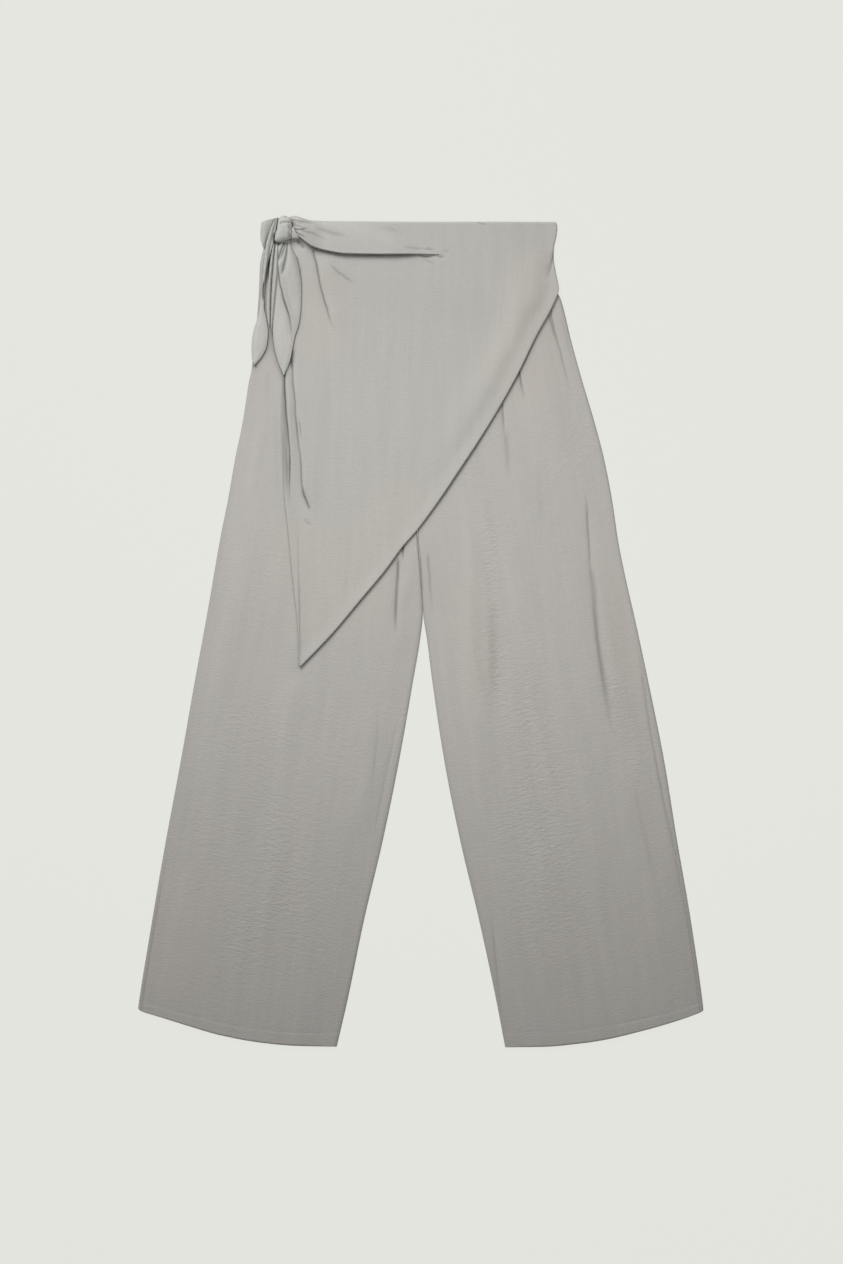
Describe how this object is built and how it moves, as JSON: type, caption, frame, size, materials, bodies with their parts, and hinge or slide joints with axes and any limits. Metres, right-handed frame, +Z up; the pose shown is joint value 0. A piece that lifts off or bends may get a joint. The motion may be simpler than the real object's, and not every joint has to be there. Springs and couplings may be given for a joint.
{
  "type": "crinkle pants",
  "caption": "Wide-leg crinkle satin trousers laid flat, with a wrapped pointed front panel knotted at one side of the waist.",
  "frame": {"origin": "centre of the garment's bounding box, on the surface that it lies on", "axes": "+Y along the garment from the hems to the waist, +X to the viewer's right and the wearer's left, +Z up from the surface, out of the front of the garment"},
  "size_m": [0.7182, 1.0554, 0.0222],
  "materials": {
    "satin": "light warm grey crinkle satin with a soft low sheen and fine cross ripples",
    "satin_back": "the same crinkle satin on the hidden back of the garment"
  },
  "bodies": {
    "root": {"wrap_back": "satin_back", "leg_back_right": "satin_back", "leg_back_left": "satin_back", "leg_front_right": "satin", "leg_front_left": "satin", "wrap_front": "satin", "wrap_end": "satin", "wrap_roll": "satin", "knot_band": "satin", "tie_side": "satin", "tie_front": "satin", "tie_pleat_1": "satin", "tie_pleat_2": "satin"}
  },
  "joints": []
}
